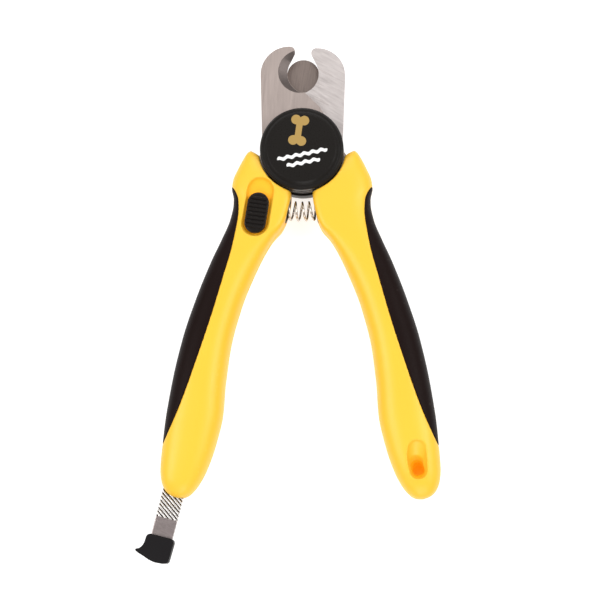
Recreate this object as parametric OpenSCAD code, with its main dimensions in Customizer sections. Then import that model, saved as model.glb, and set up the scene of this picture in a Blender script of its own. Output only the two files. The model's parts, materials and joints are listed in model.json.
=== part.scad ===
// Plier-style pet nail clipper: two crossed steel jaws on one pivot bolt, a swinging nail
// guard behind them, sprung handles with moulded grips, a sliding lock and a pull-out file.
//
// The origin is on the pivot axis, on the flat back of the rear cap. +Z runs along the pivot
// towards the front cap and +Y towards the jaws. The part is drawn with its handles open.
// Each lever is drawn in its closed frame, as the right-hand one, and then turned open.

/* [Overall] */
// Angle through which the handles close, in degrees
open_angle = 23.5; // [20:0.5:25]
// Pivot axis to the far end of a handle
handle_length = 128; // [105:1:155]
// Thickness of a handle at its fattest
handle_thickness = 16.4; // [13.6:0.2:20]
// Diameter of the two round pivot caps
cap_diameter = 29.4; // [24.4:0.2:35.4]
// Pivot axis to the tips of the jaws
jaw_reach = 38.7; // [36:0.1:47]

/* [Blades] */
// Thickness of each blade
blade_thickness = 2.2; // [1.8:0.1:2.8]
// Radius of the round cutting edge in each jaw
mouth_radius = 7.4; // [6.1:0.1:8]
// Radius of the hollow ground into the blade's outer face
grind_radius = 7.8; // [6.5:0.1:8.4]
// Thickness of the nail guard
guard_thickness = 1.2; // [0.8:0.1:1.6]
// Radius of the guard's round head
guard_radius = 5.8; // [4.8:0.1:7]

/* [Pivot] */
// Diameter of the bolt's round shank
bolt_diameter = 7; // [5.8:0.1:8.4]
// Diameter of the bolt's head
bolt_head_diameter = 11; // [9.8:0.2:13.2]
// Height of the rear cap
rear_cap_height = 5.9; // [4.9:0.1:7.2]
// Height of the front cap's side
front_cap_height = 5; // [4.2:0.1:6]
// Wall of the moulded caps
cap_wall = 1.6; // [1.2:0.1:2]

/* [Return spring] */
// Outside diameter of the coil
spring_diameter = 7.2; // [6:0.1:8.6]
// Diameter of the spring wire
spring_wire = 0.75; // [0.6:0.05:0.9]
// Number of turns
spring_turns = 6; // [4:1:7]

/* [Lock] */
// Length of the sliding button
button_length = 14.5; // [12:0.1:16]
// Width of the sliding button
button_width = 7.5; // [6.2:0.1:9]
// How far the button slides
lock_travel = 4.7; // [3.9:0.1:5.6]

/* [File] */
// Width of the file
file_width = 7.6; // [6.3:0.1:9.2]
// Thickness of the file
file_thickness = 1.2; // [1:0.1:1.5]
// How far the file stands out of the handle
file_out = 14; // [5:0.1:30]

/* [Handles] */
// Depth of the soft grip moulded over the core
grip_depth = 2.4; // [1.8:0.1:3]
// Diameter of the hanging hole
hang_hole_diameter = 4; // [3.6:0.1:5.4]

/* [Hidden] */
$fn = 96;

steel = [0.72, 0.69, 0.68];
dark_steel = [0.45, 0.42, 0.41];
black_plastic = [0.06, 0.06, 0.06];
black_rubber = [0.1, 0.09, 0.09];
yellow_plastic = [1, 0.8, 0.2];

// Clearances
slip = 0.05;            // radial clearance of a shaft in its hole
face_gap = 0.1;         // between flat faces that turn on each other
pocket_gap = 0.1;       // round a piece held in a moulded pocket
slide_gap = 0.15;       // round a piece that slides in a moulded channel
cap_gap = 0.5;          // round a cap, in the handle's head

// Heights of the pivot stack, from the table up
cap_r = cap_diameter / 2;
bolt_r = bolt_diameter / 2;
guard_z = rear_cap_height + 0.15;
back_z = guard_z + guard_thickness + face_gap;
mid_z = back_z + blade_thickness + face_gap / 2;
front_z = mid_z + face_gap / 2;
washer_z = front_z + blade_thickness;
washer_thickness = 0.4;
head_z = washer_z + washer_thickness;
head_height = 2.2;
front_cap_z = washer_z + 0.35;
face_rise = 1;
wave_thickness = 0.5;
nut_height = 3.2;
nut_z = guard_z - face_gap - wave_thickness - nut_height;
nut_across_flats = bolt_diameter + 3;
thread_r = bolt_r - 0.5;
square_neck = bolt_diameter + 0.6;
washer_r = bolt_head_diameter / 2 + 1.5;
hub_r = cap_r - 0.5;
well_r = cap_r + cap_gap;

// Outline of a handle in the closed frame: [distance below the caps' rim, distance from the
// middle plane]. The head wraps round the caps and is cut away by them afterwards.
inner_edge = [
    [-11.4, 17.4], [-10.5, 15], [-5.7, 7], [-1.7, 2.2], [1.5, 0.5], [5, 0.2], [9.5, 0.35],
    [13.5, 1.1], [18, 3.4], [22, 4.8], [30, 6.8], [44, 9.2], [56, 9.9], [70, 9],
    [85, 7.3], [94, 7.7], [102, 8.8], [107, 10.2], [110, 11.6], [111.8, 12.9], [112.9, 14.4], [113.4, 16.2]
];
outer_edge = [
    [-11.4, 18.4], [-10.2, 19.2], [-8, 20], [-4, 21.1], [0, 21.9], [2.6, 21.8], [6.8, 20.2],
    [10.5, 19.7], [14, 19.8], [21.7, 21.2], [30, 23.1], [44.5, 25.5], [59, 27], [70, 27.3],
    [84, 26.9], [98, 25.6], [105, 24.6], [109, 23.3], [111.3, 21.8], [112.6, 20.2], [113.2, 18.6], [113.4, 17]
];
// Half thickness along the handle, as a share of the greatest
fatness = [
    [-11.4, 0.2], [-10.5, 0.4], [-8, 0.58], [-3, 0.72], [4, 0.78], [14, 0.84], [30, 0.91],
    [50, 0.99], [70, 1], [85, 0.95], [100, 0.86], [108, 0.73], [111.3, 0.57], [112.8, 0.4], [113.4, 0.2]
];
// Line where the soft grip meets the hard core
grip_seam = [
    [1.8, 22.6], [4, 20.1], [7, 18.2], [14, 16.8], [23, 16.5], [35, 17.2], [50, 18.3],
    [66, 20], [81, 22], [94.5, 24.9], [98.5, 26.2]
];
neck = 35;              // below this the outline stretches with the handle's length
table_end = 113.4;
roundness = 2.6;        // exponent of the oval section
ring_points = 12;
stations = 38;

// Steel tang in the handle: [distance below the caps' rim, distance from the middle plane]
tang_outline = [
    [-14.7, 6], [-12.6, 13.9], [-7.7, 16.2], [-2.7, 17], [5.3, 16], [15, 14.6], [29, 15.6],
    [36.3, 16.2], [37.3, 15.2], [37.3, 12], [36.3, 11.2], [29, 10.6], [19, 8.4], [12.5, 5.9],
    [2, 5.5], [-1.6, 4]
];
tang_end = 37.3;
tang_pins = [[24.5, 11.4], [33, 13.2]];
tang_pin_r = 1.5;

// Spring seats
spring_r = spring_diameter / 2;
seat_wall = 0.6;
seat_r = spring_r + 0.1 + seat_wall;
seat_depth = 3.3;
seat_floor = 1;
seat_rim_x = 0.35;
seat_drop = seat_r + 2.5;                   // below the caps' rim

// Lock
lock_tilt = 3;
button_rise = 0.4;
recess_floor = 4.4;                         // above the middle plane
recess_length = button_length + lock_travel + 0.6;
recess_width = button_width + 0.7;
lock_centre = [10.85, -(cap_r + recess_length / 2 - 1.6)];
bolt_width = 3.2;
lock_bolt_thickness = blade_thickness - 0.2;
bolt_line = lock_centre[0] * cos(lock_tilt) - lock_centre[1] * sin(lock_tilt);
bolt_tip = -sqrt(pow(hub_r + 0.3, 2) - pow(bolt_line - bolt_width / 2, 2));
button_along = lock_along(lock_centre) - lock_travel / 2;
bolt_tail = button_along - 7;
stem_r = 1.4;
rib_pitch = 1.45;
detent_r = 0.65;
leaf_back = 1.65;                           // bolt's edge to the wall behind the leaf

// File
file_tilt = 2.25;
file_end_gap = 3;
file_mouth = [18.5, -handle_length - 0.1];
file_in_cap = 5.5;
file_length = handle_length - cap_r - tang_end - file_end_gap + file_in_cap;
file_cap_height = 9.2;
file_cap_thickness = 5.4;
file_cap_width = file_width + 1.6;

function handle_y(drop) = -cap_r - (drop <= neck ? drop
    : neck + (drop - neck) * (handle_length - cap_r - neck) / (table_end - neck));
function place(p) = [p[1], handle_y(p[0])];
function lock_along(p) = p[0] * sin(lock_tilt) + p[1] * cos(lock_tilt);

// Smooth curve through a table of [position, value], with no overshoot
function piece(t, v, i = 0) = (i >= len(t) - 2 || v < t[i + 1][0]) ? i : piece(t, v, i + 1);
function rise(t, i) = (t[i + 1][1] - t[i][1]) / (t[i + 1][0] - t[i][0]);
function tangent(t, i) = i == 0 ? rise(t, 0)
    : i == len(t) - 1 ? rise(t, i - 1)
    : rise(t, i - 1) * rise(t, i) <= 0 ? 0
    : 2 * rise(t, i - 1) * rise(t, i) / (rise(t, i - 1) + rise(t, i));
function smooth(t, v) = let (
        i = piece(t, v),
        w = t[i + 1][0] - t[i][0],
        u = (v - t[i][0]) / w
    ) t[i][1] * (1 + 2 * u) * (1 - u) * (1 - u) + tangent(t, i) * w * u * (1 - u) * (1 - u)
    + t[i + 1][1] * u * u * (3 - 2 * u) - tangent(t, i + 1) * w * u * u * (1 - u);

function squared(c) = sign(c) * pow(abs(c), 2 / roundness);
function drop_at(i) = let (first = inner_edge[0][0])
    first + (table_end - first) * (1 - cos(180 * i / (stations - 1))) / 2;

// One oval section of a handle, from angle 0 to turn
function section(drop, turn) = let (
        inner = smooth(inner_edge, drop),
        outer = smooth(outer_edge, drop),
        high = smooth(fatness, drop) * handle_thickness / 2,
        n = ring_points * turn / 180
    ) [for (j = [0 : turn == 360 ? n - 1 : n]) let (a = 180 * j / ring_points) [
        (inner + outer) / 2 + (outer - inner) / 2 * squared(cos(a)),
        handle_y(drop),
        high * squared(sin(a))
    ]];

// Skin through the sections; with turn 180 it is the front half, closed on the middle plane
module handle_body(turn) {
    rings = [for (i = [0 : stations - 1]) section(drop_at(i), turn)];
    n = len(rings[0]);
    translate([0, 0, mid_z]) polyhedron(
        points = [for (r = rings) each r],
        faces = concat(
            [for (i = [0 : stations - 2], j = [0 : n - 1]) let (k = (j + 1) % n) each [
                [i * n + j, (i + 1) * n + j, i * n + k],
                [i * n + k, (i + 1) * n + j, (i + 1) * n + k]
            ]],
            [[for (j = [0 : n - 1]) j]],
            [[for (j = [n - 1 : -1 : 0]) (stations - 1) * n + j]]
        )
    );
}

// Carries a shape from the closed frame to where the lever is drawn
module right_lever() {
    rotate([0, 0, open_angle / 2]) children();
}

module left_lever() {
    rotate([0, 0, -open_angle / 2]) mirror([1, 0, 0]) children();
}

module at_lock(along = 0) {
    translate([lock_centre[0], lock_centre[1], 0]) rotate([0, 0, -lock_tilt])
        translate([0, along, 0]) children();
}

module at_file_mouth() {
    translate([file_mouth[0], file_mouth[1], mid_z]) rotate([0, 0, file_tilt]) children();
}

// Round-ended slot along Y
module slot(length, width, height) {
    linear_extrude(height) {
        square([width, length - width], center = true);
        for (end = [-1, 1]) translate([0, end * (length - width) / 2]) circle(d = width);
    }
}

// ---- blades ----

mouth_centre = [mouth_radius + 0.27, jaw_reach - 10.8];
grind_centre = [grind_radius - 2.85, jaw_reach - 9.95];
nose_radius = 10.1;
nose_centre = [0.95, jaw_reach - nose_radius];
tip_radius = 1.8;
tip_slope = 76.5;
tip_centre = nose_centre + (nose_radius - tip_radius) * [cos(tip_slope), sin(tip_slope)];
hook = tip_centre - mouth_centre;
hook_angle = atan2(hook[1], hook[0]) + acos((mouth_radius + tip_radius) / norm(hook));

hub_shoulder = hub_r * [-cos(18), sin(18)];
jaw_back = hub_shoulder - nose_centre;
back_angle = atan2(jaw_back[1], jaw_back[0]) + 360 - acos(nose_radius / norm(jaw_back));

edge_land = 0.15;

function arc(centre, radius, from, to, steps) = [for (i = [0 : steps])
    let (a = from + (to - from) * i / steps) centre + radius * [cos(a), sin(a)]];

// Extrudes overlapping outlines into one plate
module plate(thickness) {
    for (i = [0 : $children - 1]) linear_extrude(thickness) children(i);
}

// Outline of the left jaw: up its back, round its beak and down its cutting edge
module jaw_plan() {
    polygon(concat(
        [[0, 0], hub_shoulder],
        arc(nose_centre, nose_radius, back_angle, tip_slope, 20),
        arc(tip_centre, tip_radius, tip_slope - 9, hook_angle - 180, 10),
        arc(mouth_centre, mouth_radius, hook_angle, 248, 24),
        [[9.1, 14.8], [hub_r * cos(35), hub_r * sin(35)]]
    ));
}

// Hollow ground obliquely into the outer face, down to a thin land at the cutting edge
module hollow_grind() {
    hull() {
        translate([mouth_centre[0], mouth_centre[1], edge_land])
            cylinder(r = mouth_radius + 0.06, h = 0.01, $fn = 64);
        translate([grind_centre[0], grind_centre[1], blade_thickness])
            cylinder(r = grind_radius, h = 0.3, $fn = 64);
    }
}

// Left jaw and its tang, lying on z = 0 with the cutting edge there
module blade() {
    difference() {
        plate(blade_thickness) {
            circle(hub_r);
            jaw_plan();
            polygon([for (p = tang_outline) place(p)]);
        }
        hollow_grind();
        for (p = tang_pins) translate([place(p)[0], place(p)[1], -1])
            cylinder(r = tang_pin_r + slip, h = blade_thickness + 2);
    }
}

stop_pin_r = 1.1;
stop_pin_ring = 0.5 * (washer_r + hub_r);
stop_pin_angle = 101;
stop_pin_half = asin(stop_pin_r / stop_pin_ring) + 0.5;     // angle it takes up, with clearance

// Way for the lock's bolt into the hub, as the left lever sees it
module lock_notch() {
    mirror([1, 0, 0]) rotate([0, 0, -lock_tilt])
        translate([bolt_line - bolt_width / 2 - 0.25, bolt_tip - 6, -1])
            cube([bolt_width + 6, 6 + lock_travel + 0.5, blade_thickness + 2]);
}

module front_blade() {
    color(steel) right_lever() translate([0, 0, front_z]) difference() {
        blade();
        translate([0, 0, blade_thickness / 2])
            cube([square_neck + 2 * slip, square_neck + 2 * slip, blade_thickness + 2], center = true);
        for (turn = [0, -open_angle]) rotate([0, 0, turn]) lock_notch();
        rotate([0, 0, stop_pin_angle - open_angle - stop_pin_half])
            rotate_extrude(angle = open_angle + 2 * stop_pin_half)
                translate([stop_pin_ring - stop_pin_r - slip, -1])
                    square([2 * (stop_pin_r + slip), blade_thickness + 2]);
    }
}

module back_blade() {
    color(steel) left_lever() translate([0, 0, back_z + blade_thickness]) mirror([0, 0, 1])
        difference() {
            blade();
            translate([0, 0, -1]) cylinder(r = bolt_r + slip, h = blade_thickness + 2);
            rotate([0, 0, 180 - stop_pin_angle]) translate([stop_pin_ring, 0, -1])
                cylinder(r = stop_pin_r, h = blade_thickness + 2);
        }
}

module blade_stop_pin() {
    color(dark_steel) left_lever() rotate([0, 0, 180 - stop_pin_angle])
        translate([stop_pin_ring, 0, back_z])
            cylinder(r = stop_pin_r, h = 2 * blade_thickness + face_gap);
}

module nail_guard() {
    guard_hub_r = bolt_r + 4.5;
    head_y = jaw_reach - 10;
    neck_half = guard_radius - 0.8;
    color(dark_steel) translate([0, 0, guard_z]) difference() {
        plate(guard_thickness) {
            circle(guard_hub_r);
            translate([0, head_y]) circle(guard_radius);
            polygon([
                [-guard_hub_r * cos(20), guard_hub_r * sin(20)],
                [-neck_half, head_y - 3], [neck_half, head_y - 3],
                [guard_hub_r * cos(20), guard_hub_r * sin(20)]
            ]);
        }
        translate([0, 0, -1]) cylinder(r = bolt_r + slip, h = guard_thickness + 2);
    }
}

// ---- pivot ----

module pivot_bolt() {
    color(dark_steel) right_lever() {
        translate([0, 0, head_z]) cylinder(d = bolt_head_diameter, h = head_height);
        translate([-square_neck / 2, -square_neck / 2, front_z])
            cube([square_neck, square_neck, head_z - front_z + 0.1]);
        translate([0, 0, nut_z + nut_height]) cylinder(r = bolt_r, h = front_z - nut_z - nut_height + 0.1);
        translate([0, 0, nut_z - 0.4]) cylinder(r = thread_r, h = nut_height + 0.5);
    }
}

module pivot_nut() {
    color(steel) right_lever() translate([0, 0, nut_z]) difference() {
        cylinder(d = nut_across_flats / cos(30), h = nut_height, $fn = 6);
        translate([0, 0, -1]) cylinder(r = thread_r + 0.02, h = nut_height + 2);
    }
}

module front_washer() {
    color(steel) right_lever() translate([0, 0, washer_z]) difference() {
        cylinder(r = washer_r, h = washer_thickness);
        translate([0, 0, -1]) cylinder(r = square_neck / 2 * sqrt(2) + slip, h = washer_thickness + 2);
    }
}

module wave_washer() {
    color(steel) right_lever() translate([0, 0, nut_z + nut_height]) difference() {
        cylinder(r = bolt_r + 2.4, h = wave_thickness);
        translate([0, 0, -1]) cylinder(r = bolt_r + slip, h = wave_thickness + 2);
    }
}

// Moulded cup with a raised face, a groove above its flange and a socket inside
module front_cap() {
    socket_r = bolt_head_diameter / 2 + 0.02;
    top = front_cap_z + front_cap_height;
    inner_top = top + face_rise - cap_wall;
    color(black_plastic) right_lever() rotate_extrude() polygon([
        [0, head_z + head_height], [socket_r, head_z + head_height], [socket_r, head_z + 0.2],
        [socket_r + 1.2, head_z + 0.2], [socket_r + 1.2, inner_top], [cap_r - cap_wall, inner_top - 1],
        [cap_r - cap_wall, front_cap_z], [cap_r, front_cap_z], [cap_r, front_cap_z + 1.3],
        [cap_r - 0.4, front_cap_z + 1.5], [cap_r - 0.4, front_cap_z + 1.9],
        [cap_r, front_cap_z + 2.1], [cap_r, top - 0.8], [cap_r - 0.8, top], [cap_r - 1.6, top],
        [cap_r - 1.9, top + 0.6], [cap_r - 2.4, top + face_rise], [0, top + face_rise]
    ]);
}

module rear_cap() {
    color(black_plastic) right_lever() difference() {
        rotate_extrude() polygon([
            [0, 0], [cap_r - 0.8, 0], [cap_r, 0.8], [cap_r, rear_cap_height],
            [cap_r - cap_wall, rear_cap_height], [cap_r - cap_wall, cap_wall],
            [nut_across_flats / 2 + 2.4, cap_wall], [nut_across_flats / 2 + 2.4, nut_z + nut_height - 0.4],
            [0, nut_z + nut_height - 0.4]
        ]);
        translate([0, 0, nut_z]) cylinder(d = nut_across_flats / cos(30) + 0.04, h = nut_height, $fn = 6);
        translate([0, 0, nut_z - 0.6]) cylinder(r = thread_r + 0.4, h = 1);
    }
}

// ---- handles, in the closed frame ----

// Everything outside the seam of the grip, in plan
module grip_plan() {
    first = grip_seam[0][0];
    last = grip_seam[len(grip_seam) - 1][0];
    steps = 30;
    polygon(concat(
        [for (i = [0 : steps]) let (drop = first + (last - first) * i / steps)
            [smooth(grip_seam, drop), handle_y(drop)]],
        [[40, handle_y(last)], [40, handle_y(first)]]
    ));
}

// Tongue of hard core that the grip is moulded round, in plan
module tongue_plan() {
    steps = 24;
    first = -2;
    last = 100;
    polygon(concat(
        [for (i = [0 : steps]) let (drop = first + (last - first) * i / steps)
            [smooth(outer_edge, drop) - grip_depth, handle_y(drop)]],
        [[8, handle_y(last)], [8, handle_y(first)]]
    ));
}

tongue_half = 0.28 * handle_thickness;

// Room that the grip takes in a shell
module grip_room() {
    difference() {
        translate([0, 0, mid_z - 15]) linear_extrude(30) grip_plan();
        translate([0, 0, mid_z - tongue_half]) linear_extrude(2 * tongue_half) tongue_plan();
    }
}

module cap_well() {
    translate([0, 0, -1]) cylinder(r = well_r, h = 40);
}

module seat_pocket() {
    translate([-1, -cap_r - seat_drop, mid_z]) rotate([0, 90, 0])
        cylinder(r = seat_r + slip, h = seat_rim_x + seat_depth + seat_floor + 1);
}

module tang_pocket(z) {
    translate([0, 0, z]) linear_extrude(blade_thickness + face_gap)
        offset(delta = pocket_gap) polygon([for (p = tang_outline) place(p)]);
}

module pin_holes() {
    for (p = tang_pins) translate([place(p)[0], place(p)[1], mid_z - blade_thickness - 2.6])
        cylinder(r = tang_pin_r, h = 2 * blade_thickness + 5.2);
}

module front_half() {
    difference() {
        handle_body(180);
        grip_room();
        cap_well();
        seat_pocket();
        pin_holes();
    }
}

module rear_half() {
    difference() {
        translate([0, 0, mid_z]) mirror([0, 0, 1]) translate([0, 0, -mid_z]) handle_body(180);
        grip_room();
        cap_well();
        seat_pocket();
        pin_holes();
    }
}

module grip() {
    color(black_rubber) intersection() {
        handle_body(360);
        grip_room();
    }
}

module tang_pin_pair() {
    color(dark_steel) for (p = tang_pins)
        translate([place(p)[0], place(p)[1], mid_z - blade_thickness - 2.5])
            cylinder(r = tang_pin_r, h = 2 * blade_thickness + 5);
}

module spring_seat() {
    color(black_plastic) translate([seat_rim_x, -cap_r - seat_drop, mid_z]) rotate([0, 90, 0])
        difference() {
            cylinder(r = seat_r, h = seat_depth + seat_floor);
            difference() {
                translate([0, 0, -1]) cylinder(r = seat_r - seat_wall, h = seat_depth + 1);
                translate([0, 0, 1]) cylinder(r = spring_r - spring_wire - 0.4, h = seat_depth);
            }
        }
}

// ---- left handle ----

module file_channel() {
    at_file_mouth() translate([-file_width / 2 - slide_gap, -8, -file_thickness / 2 - slide_gap])
        cube([
            file_width + 2 * slide_gap,
            file_length - file_in_cap + 9,
            file_thickness + 2 * slide_gap
        ]);
}

leaf_width = 4;
leaf_length = 15;
leaf_thickness = 0.3;
leaf_bow = 0.7;
leaf_from_mouth = 14;

module left_front_shell() {
    color(yellow_plastic) left_lever() difference() {
        front_half();
        at_lock() translate([0, 0, mid_z + recess_floor]) slot(recess_length, recess_width, 20);
        at_lock(-lock_travel / 2) translate([0, lock_travel / 2, mid_z])
            slot(lock_travel + 2 * stem_r + 0.6, 2 * stem_r + 0.4, 20);
        at_lock() translate([
            -bolt_width / 2 - slide_gap, bolt_tail - lock_along(lock_centre) - 0.5, mid_z - 1
        ]) cube([bolt_width + 2 * slide_gap, 40, blade_thickness + 1 + face_gap + 0.1]);
        detent_pocket();
        file_channel();
    }
}

module left_rear_shell() {
    color(yellow_plastic) left_lever() difference() {
        rear_half();
        tang_pocket(back_z);
        file_channel();
        at_file_mouth() translate([
            -leaf_width / 2 - 0.2, leaf_from_mouth - 0.3, -file_thickness / 2 - leaf_bow - leaf_thickness - 0.2
        ]) cube([leaf_width + 0.4, leaf_length + 0.6, leaf_bow + leaf_thickness + 0.3]);
    }
}

// Hollow beside the bolt for the leaf that clicks into it
module detent_pocket() {
    at_lock(button_along - lock_along(lock_centre)) translate([bolt_width / 2, -5.2, mid_z])
        cube([leaf_back, 7.4, blade_thickness]);
}

module lock_detent_spring() {
    color(steel) left_lever() at_lock(button_along - lock_along(lock_centre))
        translate([bolt_width / 2 + leaf_back, -5, mid_z + 0.05]) linear_extrude(blade_thickness - 0.1)
            polygon([
                [0, 0], [0, 7], [-0.3, 7], [-1.3, 3.9], [-1.6, 3.6], [-1.6, 3.4], [-1.3, 3.1], [-0.3, 0]
            ]);
}

// Flat bolt that slides into the hub of the front blade
module lock_bolt() {
    color(steel) left_lever() translate([0, 0, front_z + 0.05]) difference() {
        rotate([0, 0, -lock_tilt]) translate([bolt_line - bolt_width / 2, bolt_tail])
            cube([bolt_width, bolt_tip - bolt_tail, lock_bolt_thickness]);
        rotate([0, 0, -lock_tilt]) translate([bolt_line, button_along, -1])
            cylinder(r = stem_r + 0.02, h = blade_thickness + 2);
        for (step = [0, -lock_travel]) rotate([0, 0, -lock_tilt])
            translate([bolt_line + bolt_width / 2 + 0.25, button_along - 1.5 + step, -1])
                cylinder(r = detent_r, h = blade_thickness + 2, $fn = 24);
    }
}

module lock_button() {
    ribs = floor((button_length - 2.4) / rib_pitch);
    base = mid_z + recess_floor + 0.1;
    top = mid_z + smooth(fatness, 8) * handle_thickness / 2 + button_rise;
    color(black_plastic) left_lever() {
        at_lock(button_along - lock_along(lock_centre)) {
            difference() {
                translate([0, 0, base]) slot(button_length, button_width, top - base);
                for (i = [0 : ribs - 1])
                    translate([0, (i - (ribs - 1) / 2) * rib_pitch, top]) cube([
                        button_width - 1.6, 0.6, 1.2
                    ], center = true);
            }
            translate([0, 0, front_z + 0.05]) cylinder(r = stem_r, h = base - front_z);
        }
    }
}

// ---- file ----

module nail_file() {
    color(steel) left_lever() at_file_mouth() translate([0, -file_out, 0]) difference() {
        translate([-file_width / 2, -file_in_cap, -file_thickness / 2])
            cube([file_width, file_length, file_thickness]);
        for (i = [0 : 14]) translate([0, 8.5 + 1.3 * i, file_thickness / 2]) rotate([0, 0, 35])
            cube([file_width * 1.1, 0.4, 0.3], center = true);
    }
}

module file_cap() {
    w = file_cap_width / 2;
    h = file_cap_height;
    hook = 2.9;
    tip_y = -0.66 * h;
    color(black_rubber) left_lever() at_file_mouth() translate([0, -file_out, 0]) difference() {
        translate([0, 0, -file_cap_thickness / 2]) linear_extrude(file_cap_thickness) polygon(concat(
            [[-w, -0.8], [-w + 0.8, 0], [w - 0.8, 0], [w + 0.2, -0.9], [w + 0.5, -2.4]],
            [for (a = [195 : 15 : 270]) [w + hook + (hook - 0.5) * cos(a), -2.4 + (tip_y + 2.4) * -sin(a)]],
            [[w + hook, -0.75 * h], [w + hook - 0.8, -0.79 * h], [0.9 * w, -0.88 * h], [0.45 * w, -0.97 * h],
                [0, -h], [-0.5 * w, -0.98 * h], [-w + 0.1, -0.89 * h]]
        ));
        translate([-file_width / 2 - 0.02, -file_in_cap, -file_thickness / 2 - 0.02])
            cube([file_width + 0.04, file_in_cap + 1, file_thickness + 0.04]);
    }
}

// Bowed leaf that presses on the file
module file_retaining_spring() {
    steps = 8;
    low = -file_thickness / 2 - slide_gap - leaf_bow;
    function bow(u) = low + (leaf_bow + slide_gap - 0.02 - leaf_thickness) * sin(180 * u);
    color(steel) left_lever() at_file_mouth() translate([leaf_width / 2, leaf_from_mouth, 0])
        rotate([90, 0, -90]) linear_extrude(leaf_width) polygon(concat(
            [for (i = [0 : steps]) [-leaf_length * i / steps, bow(i / steps)]],
            [for (i = [steps : -1 : 0]) [-leaf_length * i / steps, bow(i / steps) + leaf_thickness]]
        ));
}

// ---- right handle ----

hang_hole = [17.1, -handle_length + 9.8];
hang_tilt = 35;
hang_wall_behind = 6;                       // round wall, from the middle plane to the rear cone

module at_hang_hole() {
    translate([hang_hole[0], hang_hole[1], mid_z]) rotate([0, 0, 4]) rotate([-hang_tilt, 0, 0]) children();
}

module hang_bore(top) {
    at_hang_hole() translate([0, 0, -15]) cylinder(d = hang_hole_diameter, h = 15 + top);
}

module oval(length, width, height) {
    translate([0, 0, height]) linear_extrude(0.01) hull() for (end = [-1, 1])
        translate([0, end * (length - width) / 2]) circle(d = width, $fn = 32);
}

// Oval well round the hole's mouth, and the long shallow dish above it
module hang_dish() {
    well = [hang_hole[0] - 0.25, hang_hole[1] + 1.3, mid_z];
    well_width = hang_hole_diameter + 0.4;
    well_floor = 0.255 * handle_thickness;
    hull() {
        at_hang_hole() translate([0, 0, 0.2]) cylinder(d = hang_hole_diameter + 0.1, h = 0.01, $fn = 32);
        translate(well) oval(well_width + 3.5, well_width, well_floor);
    }
    hull() {
        translate(well) oval(well_width + 3.5, well_width, well_floor - 0.02);
        translate([hang_hole[0] + 0.5, hang_hole[1] + 3.4, mid_z]) rotate([0, 0, -6])
            oval(hang_hole_diameter + 8.8, hang_hole_diameter + 2, 0.4 * handle_thickness);
        translate([hang_hole[0] + 0.5, hang_hole[1] + 3.4, mid_z]) rotate([0, 0, -6])
            oval(hang_hole_diameter + 8.8, hang_hole_diameter + 2, 0.7 * handle_thickness);
    }
}

module right_front_shell() {
    color(yellow_plastic) right_lever() difference() {
        front_half();
        tang_pocket(front_z - face_gap);
        hang_bore(0.3);
        hang_dish();
    }
}

module right_rear_shell() {
    color(yellow_plastic) right_lever() difference() {
        rear_half();
        hang_bore(3);
        at_hang_hole() translate([0, 0, -hang_wall_behind - 5])
            cylinder(d1 = hang_hole_diameter + 4, d2 = hang_hole_diameter, h = 5);
    }
}

// ---- return spring ----

// The coil's axis dips between the two tilted seats
seat_floor_at = [seat_rim_x + seat_depth + 0.05, -cap_r - seat_drop];
half_open = open_angle / 2;
spring_half = seat_floor_at[0] * cos(half_open) - seat_floor_at[1] * sin(half_open);
spring_end_y = seat_floor_at[0] * sin(half_open) + seat_floor_at[1] * cos(half_open);
spring_dip = spring_half * tan(half_open) / 2;
coil_r = spring_r - spring_wire / 2;
spring_reach = spring_half - spring_wire / 2;

function coil_slope(x) = atan(2 * spring_dip * x / pow(spring_half, 2));
function coil_point(u, r, around) = let (
        x = spring_reach * (2 * u - 1),
        y = spring_end_y - spring_dip * (1 - pow(x / spring_half, 2)),
        turn = 360 * spring_turns * u,
        wire = r + spring_wire / 2 * cos(around)
    ) [
        x - wire * cos(turn) * sin(coil_slope(x)) + spring_wire / 2 * sin(around) * cos(coil_slope(x)),
        y + wire * cos(turn) * cos(coil_slope(x)) + spring_wire / 2 * sin(around) * sin(coil_slope(x)),
        mid_z + wire * sin(turn)
    ];

module return_spring() {
    sides = 8;
    rings = 20 * spring_turns;
    color(steel) polyhedron(
        points = [for (i = [0 : rings], j = [0 : sides - 1]) coil_point(i / rings, coil_r, 360 * j / sides)],
        faces = concat(
            [for (i = [0 : rings - 1], j = [0 : sides - 1]) let (k = (j + 1) % sides) each [
                [i * sides + j, i * sides + k, (i + 1) * sides + j],
                [i * sides + k, (i + 1) * sides + k, (i + 1) * sides + j]
            ]],
            [[for (j = [sides - 1 : -1 : 0]) j]],
            [[for (j = [0 : sides - 1]) rings * sides + j]]
        )
    );
}

front_blade();
back_blade();
blade_stop_pin();
nail_guard();
pivot_bolt();
pivot_nut();
front_washer();
wave_washer();
front_cap();
rear_cap();
left_front_shell();
left_rear_shell();
left_lever() grip();  // left_grip
left_lever() tang_pin_pair();  // left_tang_pins
right_front_shell();
right_rear_shell();
right_lever() grip();  // right_grip
right_lever() tang_pin_pair();  // right_tang_pins
return_spring();
left_lever() spring_seat();  // left_spring_seat
right_lever() spring_seat();  // right_spring_seat
lock_button();
lock_bolt();
lock_detent_spring();
nail_file();
file_cap();
file_retaining_spring();
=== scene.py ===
"""Plier-style pet nail clipper: the finished look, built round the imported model.

Shapes are worked in millimetres. Each lever is shaped in its closed frame, as the right-hand
one, and its place matrix then opens it, mirrors it for the left hand and turns it to metres.
"""

import json
import math

import bmesh
import bpy
from mathutils import Matrix, Vector


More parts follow.
